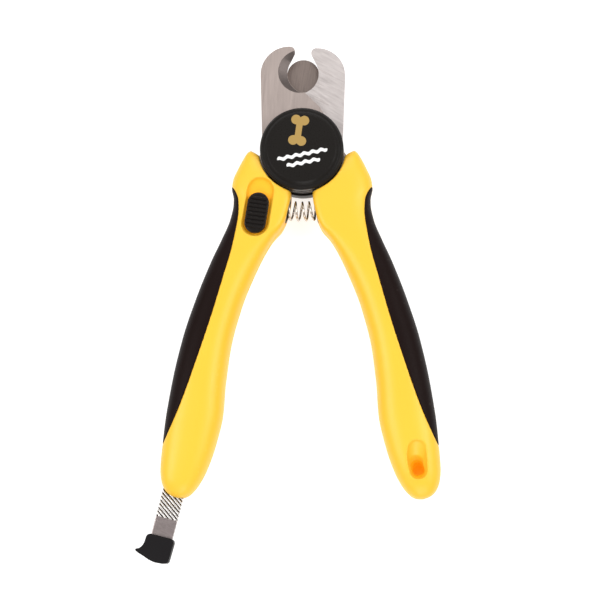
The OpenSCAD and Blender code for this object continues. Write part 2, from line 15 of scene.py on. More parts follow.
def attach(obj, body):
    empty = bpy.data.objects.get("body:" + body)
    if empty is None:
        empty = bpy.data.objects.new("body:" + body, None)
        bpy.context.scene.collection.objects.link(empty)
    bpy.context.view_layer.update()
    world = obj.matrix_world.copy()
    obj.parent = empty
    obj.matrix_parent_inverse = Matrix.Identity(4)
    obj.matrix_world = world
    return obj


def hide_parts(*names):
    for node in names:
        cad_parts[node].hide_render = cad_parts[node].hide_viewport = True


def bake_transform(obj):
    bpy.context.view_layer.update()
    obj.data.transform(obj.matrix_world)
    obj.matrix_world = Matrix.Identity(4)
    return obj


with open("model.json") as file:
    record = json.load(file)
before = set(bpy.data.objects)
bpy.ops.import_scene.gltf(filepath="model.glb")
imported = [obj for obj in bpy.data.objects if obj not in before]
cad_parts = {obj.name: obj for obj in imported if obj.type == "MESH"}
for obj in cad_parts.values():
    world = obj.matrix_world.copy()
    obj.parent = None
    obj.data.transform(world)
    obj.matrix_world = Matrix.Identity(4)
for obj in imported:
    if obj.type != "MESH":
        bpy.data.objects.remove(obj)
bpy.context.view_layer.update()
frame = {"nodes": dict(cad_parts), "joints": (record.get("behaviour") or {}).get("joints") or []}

MM = Matrix.Scale(0.001, 4)
hinge = next(j for j in frame["joints"] if j["name"] == "handles_close")
HALF_OPEN = math.radians(hinge["range_deg"][1] / 2)
RIGHT = MM @ Matrix.Rotation(HALF_OPEN, 4, "Z")
LEFT = MM @ Matrix.Rotation(-HALF_OPEN, 4, "Z") @ Matrix.Scale(-1, 4, (1, 0, 0))

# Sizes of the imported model, in millimetres
MID_Z = 9.6
CAP_R = 14.7
CAP_TOP = 18.2
WELL_R = 15.2
HALF_THICKNESS = 8.2
BLADE = 2.2
SEAT_Y = -21.5
SEAT_R = 4.3
LOCK_CENTRE = Vector((10.85, -23.0, 0))
LOCK_TILT = math.radians(-3)
LOCK_TRAVEL = 4.7
LOCK_RECESS = (19.8, 8.2)        # length, width
RECESS_FLOOR = MID_Z + 4.4
FILE_MOUTH = Vector((18.5, -128.1, MID_Z))
FILE_TILT = math.radians(2.25)
FILE_OUT = 14.0
FILE_LENGTH = 78.5
FILE_WIDTH = 7.6
FILE_THICKNESS = 1.2
FILE_IN_CAP = 5.5
HANG_HOLE = Vector((17.1, -118.2, MID_Z))
HANG_BORE = 4.0
HANG_TURN = math.radians(4)
HANG_TILT = math.radians(-35)
HANG_WELL = (7.9, 4.4)           # length, width
WELL_SHIFT = Vector((-0.25, 1.3, 0))
WELL_TOP = 4.2                   # above the middle plane, as the two dish heights are
HANG_DISH = (12.8, 6.0)
DISH_SHIFT = Vector((0.5, 3.4, 0))
DISH_TURN = math.radians(-6)
DISH_HEIGHTS = ((6.6, 0.0), (9.5, 3.0))     # height, extra length and width

# Grain of the skin that mouldings are rebuilt with
VOXEL = 0.3

# Outline of a handle, as (distance below the caps' rim, distance from the middle plane)
INNER_EDGE = (
    (-11.4, 17.4), (-10.5, 15), (-5.7, 7), (-1.7, 2.2), (1.5, 0.5), (5, 0.2), (9.5, 0.35),
    (13.5, 1.1), (18, 3.4), (22, 4.8), (30, 6.8), (44, 9.2), (56, 9.9), (70, 9),
    (85, 7.3), (94, 7.7), (102, 8.8), (107, 10.2), (110, 11.6), (111.8, 12.9), (112.9, 14.4),
    (113.4, 16.2),
)
OUTER_EDGE = (
    (-11.4, 18.4), (-10.2, 19.2), (-8, 20), (-4, 21.1), (0, 21.9), (2.6, 21.8), (6.8, 20.2),
    (10.5, 19.7), (14, 19.8), (21.7, 21.2), (30, 23.1), (44.5, 25.5), (59, 27), (70, 27.3),
    (84, 26.9), (98, 25.6), (105, 24.6), (109, 23.3), (111.3, 21.8), (112.6, 20.2), (113.2, 18.6),
    (113.4, 17),
)
# Share of the full thickness along the handle
FATNESS = (
    (-11.4, 0.2), (-10.5, 0.4), (-8, 0.58), (-3, 0.72), (4, 0.78), (14, 0.84), (30, 0.91),
    (50, 0.99), (70, 1), (85, 0.95), (100, 0.86), (108, 0.73), (111.3, 0.57), (112.8, 0.4), (113.4, 0.2),
)
# Line where the soft grip meets the hard core, as (drop, distance)
GRIP_SEAM = (
    (1.8, 22.6), (4, 20.1), (7, 18.2), (14, 16.8), (23, 16.5), (35, 17.2), (50, 18.3),
    (66, 20), (81, 22), (94.5, 24.9), (98.5, 26.2),
)
HEAD_TOP = INNER_EDGE[0][0]
TABLE_END = INNER_EDGE[-1][0]
# Power of the oval that the handle's section follows: 2 is an ellipse, and more is squarer
ROUNDNESS = 2.6
INNER_ROUNDNESS = (
    (-11.4, 2.6), (-6, 3), (0, 6), (4, 8.5), (11, 8), (17, 5), (26, 3), (34, 2.6), (113.4, 2.6),
)


# ---- curves and outlines ----

def smooth(table, at):
    """Value of a smooth curve through the table's points, with no overshoot."""
    def rise(i):
        return (table[i + 1][1] - table[i][1]) / (table[i + 1][0] - table[i][0])

    def tangent(i):
        if i == 0:
            return rise(0)
        if i == len(table) - 1:
            return rise(i - 1)
        before, after = rise(i - 1), rise(i)
        return 0 if before * after <= 0 else 2 * before * after / (before + after)

    i = 0
    while i < len(table) - 2 and at >= table[i + 1][0]:
        i += 1
    width = table[i + 1][0] - table[i][0]
    u = (at - table[i][0]) / width
    v = 1 - u
    return (table[i][1] * (1 + 2 * u) * v * v + tangent(i) * width * u * v * v
            + table[i + 1][1] * u * u * (3 - 2 * u) - tangent(i + 1) * width * u * u * v)


def handle_y(drop):
    return -CAP_R - drop


def stadium(length, width, steps=20):
    """Corners of a round-ended slot along Y, centred on the origin."""
    r, reach = width / 2, (length - width) / 2
    ends = []
    for side, first in ((1, 0), (-1, math.pi)):
        for i in range(steps + 1):
            a = first + math.pi * i / steps
            ends.append((r * math.cos(a), side * reach + r * math.sin(a)))
    return ends


# ---- mesh helpers ----

def prism(bm, outline, low, high):
    """Adds a flat outline extruded from low to high, and returns its vertices."""
    face = bm.faces.new([bm.verts.new((x, y, low)) for x, y in outline])
    grown = bmesh.ops.extrude_face_region(bm, geom=[face])["geom"]
    top = [g for g in grown if isinstance(g, bmesh.types.BMVert)]
    bmesh.ops.translate(bm, verts=top, vec=(0, 0, high - low))
    return list(face.verts) + top


def hull_of(outlines):
    """Closed convex solid round several flat outlines, each (outline, height)."""
    bm = bmesh.new()
    for outline, height in outlines:
        for x, y in outline:
            bm.verts.new((x, y, height))
    return wrapped(bm)


def wrapped(bm):
    """Replaces loose points by the convex solid round them."""
    made = bmesh.ops.convex_hull(bm, input=bm.verts)
    loose = {g for g in made["geom_unused"] + made["geom_interior"] if isinstance(g, bmesh.types.BMVert)}
    bmesh.ops.delete(bm, geom=list(loose), context="VERTS")
    return bm


def rod(radius, low, high, steps=96, far_radius=None, bm=None):
    """Round bar or cone along Z, in a bmesh of its own unless one is given."""
    bm = bm or bmesh.new()
    bmesh.ops.create_cone(
        bm, cap_ends=True, segments=steps, radius1=radius,
        radius2=radius if far_radius is None else far_radius, depth=high - low,
        matrix=Matrix.Translation((0, 0, (low + high) / 2)))
    return bm


def block(low, high):
    """Box between two corners."""
    bm = bmesh.new()
    low, high = Vector(low), Vector(high)
    bmesh.ops.create_cube(
        bm, size=1, matrix=Matrix.Translation((low + high) / 2) @ Matrix.Diagonal((*(high - low), 1)))
    return bm


def solid(name, bm, place=None):
    """Turns a bmesh into an object, with its faces pointing outwards."""
    if place is not None:
        bm.transform(place)
    bmesh.ops.remove_doubles(bm, verts=bm.verts, dist=1e-7)
    bmesh.ops.recalc_face_normals(bm, faces=bm.faces)
    mesh = bpy.data.meshes.new(name)
    bm.to_mesh(mesh)
    bm.free()
    obj = bpy.data.objects.new(name, mesh)
    bpy.context.scene.collection.objects.link(obj)
    return obj


def settle(obj):
    """Applies the object's modifiers to its mesh."""
    bpy.context.view_layer.update()
    done = obj.evaluated_get(bpy.context.evaluated_depsgraph_get())
    mesh = bpy.data.meshes.new_from_object(done)
    mesh.name = obj.name
    obj.modifiers.clear()
    obj.data = mesh


def carve(obj, cutter, operation="DIFFERENCE"):
    """Cuts obj with a bmesh, or keeps what they share, and uses the cutter up."""
    tool = solid("cutter", cutter)
    step = obj.modifiers.new("cut", "BOOLEAN")
    step.operation = operation
    step.solver = "EXACT"
    step.object = tool
    settle(obj)
    bpy.data.objects.remove(tool)


def melt(obj, voxel, rounds, strength=0.5):
    """Rebuilds a closed shape as one even skin and softens its edges, as a moulding has them."""
    skin = obj.modifiers.new("skin", "REMESH")
    skin.mode = "VOXEL"
    skin.voxel_size = voxel
    skin.use_smooth_shade = True
    soft = obj.modifiers.new("soft", "SMOOTH")
    soft.factor = strength
    soft.iterations = rounds
    settle(obj)


def smooth_faces(obj, angle=None):
    """Smooth shading, with creases kept where faces meet more sharply than angle in degrees."""
    obj.data.shade_smooth()
    if angle is not None:
        obj.data.set_sharp_from_angle(angle=math.radians(angle))


def soften_edges(bm, width, angle=30, steps=3):
    """Rounds every edge sharper than angle."""
    sharp = [e for e in bm.edges if len(e.link_faces) == 2 and e.calc_face_angle() > math.radians(angle)]
    bmesh.ops.bevel(
        bm, geom=sharp, offset=width, offset_type="OFFSET", segments=steps, profile=0.5,
        affect="EDGES", material=-1, clamp_overlap=True)


def finish_piece(obj, body, material, nodes=(), place=None):
    """Puts a piece in place, gives it its finish, and lets it ride on its body."""
    if place is not None:
        obj.data.transform(place)
        if place.determinant() < 0:
            obj.data.flip_normals()
    obj.data.materials.clear()
    obj.data.materials.append(material)
    if body:
        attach(obj, body)
    if nodes:
        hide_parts(*nodes)
    return obj


def node_copy(node, place=None):
    """Merged copy of a CAD node's mesh, carried back from where place put it."""
    bm = bmesh.new()
    bm.from_mesh(frame["nodes"][node].data)
    if place is not None:
        bm.transform(place.inverted())
    bmesh.ops.remove_doubles(bm, verts=bm.verts, dist=1e-3 if place is not None else 1e-6)
    bmesh.ops.recalc_face_normals(bm, faces=bm.faces)
    return bm


# ---- shader groups ----

def group(name, inputs, outputs):
    """Empty shader group with float inputs (name, value) and outputs (name, kind)."""
    tree = bpy.data.node_groups.new(name, "ShaderNodeTree")
    for label, value in inputs:
        kind = "NodeSocketColor" if isinstance(value, tuple) else "NodeSocketFloat"
        socket = tree.interface.new_socket(name=label, in_out="INPUT", socket_type=kind)
        socket.default_value = value
    for label, kind in outputs:
        tree.interface.new_socket(name=label, in_out="OUTPUT", socket_type=kind)
    return tree, tree.nodes.new("NodeGroupInput"), tree.nodes.new("NodeGroupOutput")


def add(tree, kind, **settings):
    node = tree.nodes.new(kind)
    for key, value in settings.items():
        setattr(node, key, value)
    return node


def math_node(tree, operation, first, second=None, clamp=False):
    node = add(tree, "ShaderNodeMath", operation=operation, use_clamp=clamp)
    for socket, value in zip(node.inputs, (first, second)):
        if isinstance(value, (int, float)):
            socket.default_value = value
        elif value is not None:
            tree.links.new(value, socket)
    return node.outputs[0]


def object_coordinates(tree, stretch=1.0, turn=0.0):
    """Object coordinates, drawn out along X turned by an angle about Z."""
    place = add(tree, "ShaderNodeTexCoord")
    mapping = add(tree, "ShaderNodeMapping", vector_type="TEXTURE")
    mapping.inputs["Rotation"].default_value = (0, 0, turn)
    mapping.inputs["Scale"].default_value = (stretch, 1, 1)
    tree.links.new(place.outputs["Object"], mapping.inputs["Vector"])
    return mapping.outputs["Vector"]


def noise(tree, vector, scale, detail=2.0, roughness=0.5):
    node = add(tree, "ShaderNodeTexNoise")
    node.inputs["Detail"].default_value = detail
    node.inputs["Roughness"].default_value = roughness
    tree.links.new(vector, node.inputs["Vector"])
    if isinstance(scale, (int, float)):
        node.inputs["Scale"].default_value = scale
    else:
        tree.links.new(scale, node.inputs["Scale"])
    return node.outputs["Fac"]


def make_mould_grain():
    """Fine leathery grain of a moulded surface, with slow waves under it."""
    tree, entry, leave = group(
        "mould_grain", [("Grain Scale", 2600.0), ("Grain Depth", 0.5), ("Wave Scale", 90.0)],
        [("Height", "NodeSocketFloat"), ("Speckle", "NodeSocketFloat")])
    where = object_coordinates(tree)
    fine = noise(tree, where, entry.outputs["Grain Scale"], 3)
    wave = noise(tree, where, entry.outputs["Wave Scale"], 1)
    deep = math_node(tree, "MULTIPLY", fine, entry.outputs["Grain Depth"])
    shallow = math_node(tree, "MULTIPLY", wave, 0.3)
    tree.links.new(math_node(tree, "ADD", deep, shallow), leave.inputs["Height"])
    tree.links.new(fine, leave.inputs["Speckle"])
    return tree


def make_colour_drift():
    """Slow change between two near colours over a moulding or a plate."""
    tree, entry, leave = group(
        "colour_drift",
        [("Colour", (1.0, 1.0, 1.0, 1.0)), ("Other Colour", (0.8, 0.8, 0.8, 1.0)), ("Patch Scale", 60.0)],
        [("Colour", "NodeSocketColor")])
    mask = noise(tree, object_coordinates(tree), entry.outputs["Patch Scale"], 2)
    mix = add(tree, "ShaderNodeMix", data_type="RGBA")
    tree.links.new(mask, mix.inputs["Factor"])
    tree.links.new(entry.outputs["Colour"], mix.inputs["A"])
    tree.links.new(entry.outputs["Other Colour"], mix.inputs["B"])
    tree.links.new(mix.outputs["Result"], leave.inputs["Colour"])
    return tree


def make_edge_wear():
    """Mask of rubbed edges: convex places, broken up by noise."""
    tree, entry, leave = group(
        "edge_wear", [("Amount", 0.5), ("Break Scale", 900.0)], [("Mask", "NodeSocketFloat")])
    shape = add(tree, "ShaderNodeNewGeometry")
    ramp = add(tree, "ShaderNodeMapRange")
    ramp.inputs["From Min"].default_value = 0.53
    ramp.inputs["From Max"].default_value = 0.62
    tree.links.new(shape.outputs["Pointiness"], ramp.inputs["Value"])
    breakup = noise(tree, object_coordinates(tree), entry.outputs["Break Scale"], 3)
    part = math_node(tree, "MULTIPLY", ramp.outputs["Result"], breakup)
    mask = math_node(tree, "MULTIPLY", part, entry.outputs["Amount"], clamp=True)
    tree.links.new(mask, leave.inputs["Mask"])
    return tree


def make_brushed_lines():
    """Long grinding marks and short scratches, along X of the vector it is given."""
    tree, entry, leave = group(
        "brushed_lines", [("Line Scale", 700.0), ("Scratch Scale", 180.0)],
        [("Lines", "NodeSocketFloat"), ("Scratches", "NodeSocketFloat")])
    vector = tree.interface.new_socket(name="Vector", in_out="INPUT", socket_type="NodeSocketVector")
    along = entry.outputs[vector.name]
    lines = noise(tree, along, entry.outputs["Line Scale"], 4, 0.7)
    scratch = noise(tree, along, entry.outputs["Scratch Scale"], 2, 0.6)
    tree.links.new(lines, leave.inputs["Lines"])
    tree.links.new(math_node(tree, "GREATER_THAN", scratch, 0.66), leave.inputs["Scratches"])
    return tree


MOULD_GRAIN = make_mould_grain()
COLOUR_DRIFT = make_colour_drift()
EDGE_WEAR = make_edge_wear()
BRUSHED_LINES = make_brushed_lines()


def use(tree, what, **values):
    node = add(tree, "ShaderNodeGroup", node_tree=what)
    for label, value in values.items():
        node.inputs[label.replace("_", " ")].default_value = value
    return node


def new_material(name):
    material = bpy.data.materials.new(name)
    material.use_nodes = True
    tree = material.node_tree
    return material, tree, tree.nodes["Principled BSDF"]


def spread(tree, value, low, high):
    """A value from 0 to 1 spread over low to high."""
    node = add(tree, "ShaderNodeMapRange")
    node.inputs["From Min"].default_value = 0.3
    node.inputs["From Max"].default_value = 0.7
    node.inputs["To Min"].default_value = low
    node.inputs["To Max"].default_value = high
    tree.links.new(value, node.inputs["Value"])
    return node.outputs["Result"]


def moulded(
        name, colour, other, rough, grain_scale, bump, grain=0.5, wear=0.3, worn=None, specular=0.5,
        deep=None):
    """Moulded plastic or rubber: drifting colour, grain in the roughness and the surface, rubbed edges.

    Where the mesh marks a hollow, the colour turns to deep as painted shade, and the same colour is added as
    emission, a painted glow.
    """
    material, tree, shader = new_material(name)
    drift = use(tree, COLOUR_DRIFT, Colour=colour, Other_Colour=other, Patch_Scale=45.0)
    grains = use(tree, MOULD_GRAIN, Grain_Scale=grain_scale, Grain_Depth=grain, Wave_Scale=70.0)
    edges = use(tree, EDGE_WEAR, Amount=wear, Break_Scale=700.0)
    mix = add(tree, "ShaderNodeMix", data_type="RGBA")
    tree.links.new(edges.outputs["Mask"], mix.inputs["Factor"])
    tree.links.new(drift.outputs["Colour"], mix.inputs["A"])
    mix.inputs["B"].default_value = worn or tuple(min(1.0, c * 1.6 + 0.02) for c in colour[:3]) + (1.0,)
    finish = mix.outputs["Result"]
    # Painted shade and a painted glow in hollows: base colour mixed towards deep, deep given off as emission,
    # and a rougher surface.
    if deep:
        hollow = add(tree, "ShaderNodeAttribute", attribute_name="hollow")
        inside = add(tree, "ShaderNodeMix", data_type="RGBA")
        tree.links.new(hollow.outputs["Fac"], inside.inputs["Factor"])
        tree.links.new(finish, inside.inputs["A"])
        inside.inputs["B"].default_value = deep
        finish = inside.outputs["Result"]
        # Painted glow: the hollows give off the deep colour, though the shell is no lamp.
        through = add(tree, "ShaderNodeMix", data_type="RGBA")
        tree.links.new(hollow.outputs["Fac"], through.inputs["Factor"])
        through.inputs["A"].default_value = (0, 0, 0, 1)
        through.inputs["B"].default_value = deep
        tree.links.new(through.outputs["Result"], shader.inputs["Emission Color"])
        shader.inputs["Emission Strength"].default_value = 0.25
        rougher = math_node(tree, "MULTIPLY", hollow.outputs["Fac"], 0.5)
    tree.links.new(finish, shader.inputs["Base Color"])
    dullness = spread(tree, grains.outputs["Speckle"], rough - 0.05, rough + 0.05)
    if deep:
        dullness = math_node(tree, "ADD", dullness, rougher)
    tree.links.new(dullness, shader.inputs["Roughness"])
    shader.inputs["Specular IOR Level"].default_value = specular
    relief = add(tree, "ShaderNodeBump")
    relief.inputs["Strength"].default_value = 1.0
    relief.inputs["Distance"].default_value = bump
    tree.links.new(grains.outputs["Height"], relief.inputs["Height"])
    tree.links.new(relief.outputs["Normal"], shader.inputs["Normal"])
    return material


def brushed_steel(
        name, colour, dark, rough, turn, stretch=14.0, line_scale=2200.0, bump=0.00002, scratch=0.25,
        cuts=False, wear=0.6):
    """Steel with grinding marks that run at an angle turn to X; where it has a file's cuts, a painted
    highlight lightens the coarse zone and painted shade darkens the cuts.
    """
    material, tree, shader = new_material(name)
    along = object_coordinates(tree, stretch, turn)
    lines = use(tree, BRUSHED_LINES, Line_Scale=line_scale, Scratch_Scale=line_scale * 0.35)
    tree.links.new(along, lines.inputs["Vector"])
    drift = add(tree, "ShaderNodeMix", data_type="RGBA")
    tree.links.new(spread(tree, lines.outputs["Lines"], 0.0, 1.0), drift.inputs["Factor"])
    drift.inputs["A"].default_value = dark
    drift.inputs["B"].default_value = colour
    edges = use(tree, EDGE_WEAR, Amount=wear, Break_Scale=1500.0)
    streak = add(tree, "ShaderNodeMix", data_type="RGBA", blend_type="MULTIPLY")
    tree.links.new(math_node(tree, "MULTIPLY", lines.outputs["Scratches"], scratch), streak.inputs["Factor"])
    tree.links.new(drift.outputs["Result"], streak.inputs["A"])
    streak.inputs["B"].default_value = (0.62, 0.58, 0.56, 1.0)
    bright = add(tree, "ShaderNodeMix", data_type="RGBA")
    tree.links.new(edges.outputs["Mask"], bright.inputs["Factor"])
    tree.links.new(streak.outputs["Result"], bright.inputs["A"])
    bright.inputs["B"].default_value = (0.92, 0.9, 0.88, 1.0)
    finish = bright.outputs["Result"]
    if cuts:
        # Painted highlight over the coarse cut zone, then painted shade in its grooves.
        for name_of_mask, tint in (("ridge_highlight", (0.86, 0.84, 0.82, 1.0)), ("groove", (0.035, 0.024, 0.02, 1.0))):
            mask = add(tree, "ShaderNodeAttribute", attribute_name=name_of_mask)
            over = add(tree, "ShaderNodeMix", data_type="RGBA")
            tree.links.new(mask.outputs["Fac"], over.inputs["Factor"])
            tree.links.new(finish, over.inputs["A"])
            over.inputs["B"].default_value = tint
            finish = over.outputs["Result"]
    tree.links.new(finish, shader.inputs["Base Color"])
    shader.inputs["Metallic"].default_value = 1.0
    dullness = spread(tree, lines.outputs["Lines"], rough - 0.05, rough + 0.07)
    tree.links.new(dullness, shader.inputs["Roughness"])
    relief = add(tree, "ShaderNodeBump")
    relief.inputs["Strength"].default_value = 1.0
    relief.inputs["Distance"].default_value = bump
    tree.links.new(lines.outputs["Lines"], relief.inputs["Height"])
    tree.links.new(relief.outputs["Normal"], shader.inputs["Normal"])
    return material


# Its deep colour is the painted shade and painted glow in the hang hole and the lock's recess.
yellow = moulded(
    "yellow_shell_plastic", (0.93, 0.545, 0.038, 1), (0.92, 0.515, 0.032, 1), 0.4, 1500.0, 0.00001,
    grain=0.35, wear=0.25, worn=(1.0, 0.66, 0.14, 1), specular=0.4, deep=(1.0, 0.38, 0.0, 1))
grip_rubber = moulded(
    "grip_rubber", (0.0078, 0.0028, 0.0022, 1), (0.0108, 0.005, 0.0042, 1), 0.5, 2600.0, 0.00003,
    grain=0.8, wear=0.5, worn=(0.05, 0.038, 0.033, 1), specular=0.08)
cap_plastic = moulded(
    "black_cap_plastic", (0.0115, 0.0102, 0.0092, 1), (0.015, 0.0132, 0.012, 1), 0.3, 2200.0, 0.000012,
    grain=0.6, wear=0.4, worn=(0.06, 0.043, 0.03, 1), specular=0.1)
button_plastic = moulded(
    "lock_button_plastic", (0.0055, 0.0036, 0.0028, 1), (0.0085, 0.006, 0.005, 1), 0.36, 2600.0, 0.000015,
    grain=0.6, wear=0.6, worn=(0.07, 0.06, 0.052, 1), specular=0.2)
end_rubber = moulded(
    "file_cap_rubber", (0.009, 0.008, 0.0088, 1), (0.0125, 0.0112, 0.012, 1), 0.55, 1800.0, 0.00006,
    grain=0.9, wear=0.4, worn=(0.045, 0.036, 0.03, 1), specular=0.08)
seat_plastic = moulded(
    "spring_seat_plastic", (0.02, 0.016, 0.014, 1), (0.03, 0.024, 0.02, 1), 0.45, 2400.0, 0.00002,
    grain=0.5, wear=0.3)
white_print = moulded(
    "white_print", (0.83, 0.83, 0.82, 1), (0.78, 0.78, 0.77, 1), 0.5, 2600.0, 0.000006, grain=0.4, wear=0.0)
gold_print = moulded(
    "gold_print", (0.42, 0.27, 0.07, 1), (0.36, 0.22, 0.055, 1), 0.42, 2600.0, 0.00001, grain=0.6, wear=0.0)
front_steel = brushed_steel(
    "front_blade_steel", (0.505, 0.427, 0.396, 1), (0.435, 0.367, 0.34, 1), 0.45, math.radians(88),
    stretch=22.0, line_scale=1900.0, bump=0.00001, wear=0.0)
back_steel = brushed_steel(
    "back_blade_steel", (0.7, 0.645, 0.63, 1), (0.56, 0.51, 0.495, 1), 0.45, math.radians(-28),
    stretch=10.0, line_scale=1500.0, bump=0.00001, scratch=0.3, wear=0.0)
# The ground face's steel: its own grinding marks are real, and its colour, set far darker than the flats', is
# painted shade.
ground_steel_and_shade = brushed_steel(
    "ground_edge_steel_and_shade", (0.182, 0.153, 0.144, 1), (0.15, 0.126, 0.118, 1), 0.5, math.radians(40),
    stretch=8.0, line_scale=2600.0, wear=0.0)
guard_steel = brushed_steel(
    "guard_steel", (0.29, 0.235, 0.21, 1), (0.235, 0.19, 0.172, 1), 0.4, math.radians(82), stretch=20.0,
    line_scale=2400.0, wear=0.0)
file_metal = brushed_steel(
    "file_steel", (0.34, 0.29, 0.285, 1), (0.27, 0.23, 0.225, 1), 0.36, math.radians(-25), stretch=6.0,
    line_scale=2600.0, cuts=True)
wire_steel = brushed_steel(
    "spring_wire_steel", (0.66, 0.62, 0.57, 1), (0.56, 0.52, 0.48, 1), 0.22, 0.0, stretch=3.0)
# Painted shade: a near-black finish laid on the blades' hub rims, which sit in shade between the caps.
hub_rim_shade = moulded(
    "hub_rim_painted_shade", (0.01, 0.008, 0.007, 1), (0.02, 0.015, 0.012, 1), 0.45, 2000.0, 0.00002,
    grain=0.6, wear=0.2, specular=0.15)
fitting_steel = brushed_steel(
    "fitting_steel", (0.55, 0.52, 0.5, 1), (0.45, 0.42, 0.4, 1), 0.34, math.radians(45))


# ---- handles ----

def handle_body():
    """Closed oval skin of one handle, bridged from ring to ring."""
    bm = bmesh.new()
    stations, points = 150, 72
    rings = []
    for i in range(stations):
        drop = HEAD_TOP + (TABLE_END - HEAD_TOP) * (1 - math.cos(math.pi * i / (stations - 1))) / 2
        inner, outer = smooth(INNER_EDGE, drop), smooth(OUTER_EDGE, drop)
        high = smooth(FATNESS, drop) * HALF_THICKNESS
        ring = bmesh.ops.create_circle(
            bm, cap_ends=i in (0, stations - 1), radius=1, segments=points)["verts"]
        for v in ring:
            power = 2 / (ROUNDNESS if v.co.x > 0 else smooth(INNER_ROUNDNESS, drop))
            across = math.copysign(abs(v.co.x) ** power, v.co.x)
            up = math.copysign(abs(v.co.y) ** power, v.co.y)
            v.co = ((inner + outer) / 2 + (outer - inner) / 2 * across, handle_y(drop), MID_Z + high * up)
        rings.append(list({e for v in ring for e in v.link_edges}))
    for near, far in zip(rings, rings[1:]):
        bmesh.ops.bridge_loops(bm, edges=near + far)
    return bm


def grip_prism():
    """Everything outside the seam of the grip."""
    first, last, steps = GRIP_SEAM[0][0], GRIP_SEAM[-1][0], 80
    outline = []
    for i in range(steps + 1):
        drop = first + (last - first) * i / steps
        outline.append((smooth(GRIP_SEAM, drop), handle_y(drop)))
    outline += [(40, handle_y(last)), (40, handle_y(first))]
    bm = bmesh.new()
    prism(bm, outline, MID_Z - 15, MID_Z + 15)
    return bm


def at_lock(bm, along=0.0):
    bm.transform(Matrix.Translation(LOCK_CENTRE) @ Matrix.Rotation(LOCK_TILT, 4, "Z")
                 @ Matrix.Translation((0, along, 0)))
    return bm


def at_file_mouth(bm, out=0.0):
    bm.transform(Matrix.Translation(FILE_MOUTH) @ Matrix.Rotation(FILE_TILT, 4, "Z")
                 @ Matrix.Translation((0, -out, 0)))
    return bm


def cap_well():
    """Round room for the pivot caps."""
    return rod(WELL_R, -5, 40, 192)


def seat_pocket():
    """Socket for the return spring's seat."""
    bm = rod(SEAT_R + 0.05, 0, 7)
    bm.transform(Matrix.Translation((-1, SEAT_Y, MID_Z)) @ Matrix.Rotation(math.pi / 2, 4, "Y"))
    return bm


def file_channel(room=0.15):
    """Way of the file through the handle's end, with room on every side."""
    half_width, half_height = FILE_WIDTH / 2 + room, FILE_THICKNESS / 2 + room
    return at_file_mouth(block((-half_width, -8, -half_height), (half_width, 75, half_height)))


def lock_recess():
    """Round-ended hollow with a flared lip."""
    length, width = LOCK_RECESS
    flare = 3.4
    return at_lock(hull_of([
        (stadium(length, width), RECESS_FLOOR),
        (stadium(length, width), RECESS_FLOOR + 1.2),
        (stadium(length + flare, width + flare), RECESS_FLOOR + 4.2),
    ]))


def stem_slot():
    """Slot that the lock button's stem slides in."""
    bm = bmesh.new()
    prism(bm, stadium(LOCK_TRAVEL + 3.4, 3.2), MID_Z, MID_Z + 10)
    return at_lock(bm)


def bolt_channel():
    """Channel that the lock's bolt slides in."""
    return at_lock(block((-1.75, -10, MID_Z - 1), (1.75, 30, MID_Z + BLADE + 0.2)))


def hang_axis():
    """Frame whose Z runs along the bore, up and towards the jaws."""
    return (Matrix.Translation(HANG_HOLE) @ Matrix.Rotation(HANG_TURN, 4, "Z")
            @ Matrix.Rotation(HANG_TILT, 4, "X"))


def hang_bore(top):
    """Round hole, up to top along its axis."""
    bm = rod(HANG_BORE / 2, -15, top, 64)
    bm.transform(hang_axis())
    return bm


def hang_cone():
    """Flare of the hole at the rear."""
    bm = rod(HANG_BORE / 2 + 2, -11, -6, 64, HANG_BORE / 2)
    bm.transform(hang_axis())
    return bm


def hang_well():
    """Oval well round the hole's mouth."""
    bm = bmesh.new()
    mouth = bmesh.ops.create_circle(bm, radius=HANG_BORE / 2 + 0.05, segments=64)["verts"]
    bmesh.ops.transform(bm, verts=mouth, matrix=hang_axis() @ Matrix.Translation((0, 0, 0.2)))
    for x, y in stadium(*HANG_WELL):
        bm.verts.new(HANG_HOLE + WELL_SHIFT + Vector((x, y, WELL_TOP)))
        bm.verts.new(HANG_HOLE + WELL_SHIFT + Vector((x, y, WELL_TOP + 1)))
    return wrapped(bm)


def hang_dish():
    """Long shallow dish that leads into the well."""
    bm = bmesh.new()
    for x, y in stadium(*HANG_WELL):
        bm.verts.new(HANG_HOLE + WELL_SHIFT + Vector((x, y, WELL_TOP)))
    turn = Matrix.Translation(HANG_HOLE + DISH_SHIFT) @ Matrix.Rotation(DISH_TURN, 4, "Z")
    for height, wider in DISH_HEIGHTS:
        for x, y in stadium(HANG_DISH[0] + wider, HANG_DISH[1] + wider):
            bm.verts.new(turn @ Vector((x, y, height)))
    return wrapped(bm)


def half_body(front):
    """Front or rear half of the handle, closed on its parting plane."""
    bm = handle_body()
    side = 1 if front else -1
    cut = bmesh.ops.bisect_plane(
        bm, geom=bm.verts[:] + bm.edges[:] + bm.faces[:], dist=1e-5,
        plane_co=(0, 0, MID_Z + 0.02 * side), plane_no=(0, 0, side), clear_inner=True)
    rim = [g for g in cut["geom_cut"] if isinstance(g, bmesh.types.BMEdge)]
    bmesh.ops.holes_fill(bm, edges=rim, sides=0)
    return bm


def inside_slot(point, length, width, edge):
    """1 inside a round-ended slot along Y, falling to 0 over edge beyond it."""
    away = math.hypot(point.x, max(0.0, abs(point.y) - (length - width) / 2))
    return min(1.0, max(0.0, (width / 2 + edge - away) / edge))


def lock_recess_shade(point):
    """Strength, from 0 to 1, of the painted shade and glow at a point of the left shell, in the button's
    recess.
    """
    spot = Matrix.Rotation(-LOCK_TILT, 4, "Z") @ (point - LOCK_CENTRE)
    if abs(point.z - RECESS_FLOOR) > 2.2:
        return 0.0
    return 0.6 * inside_slot(spot, *LOCK_RECESS, 0.6)


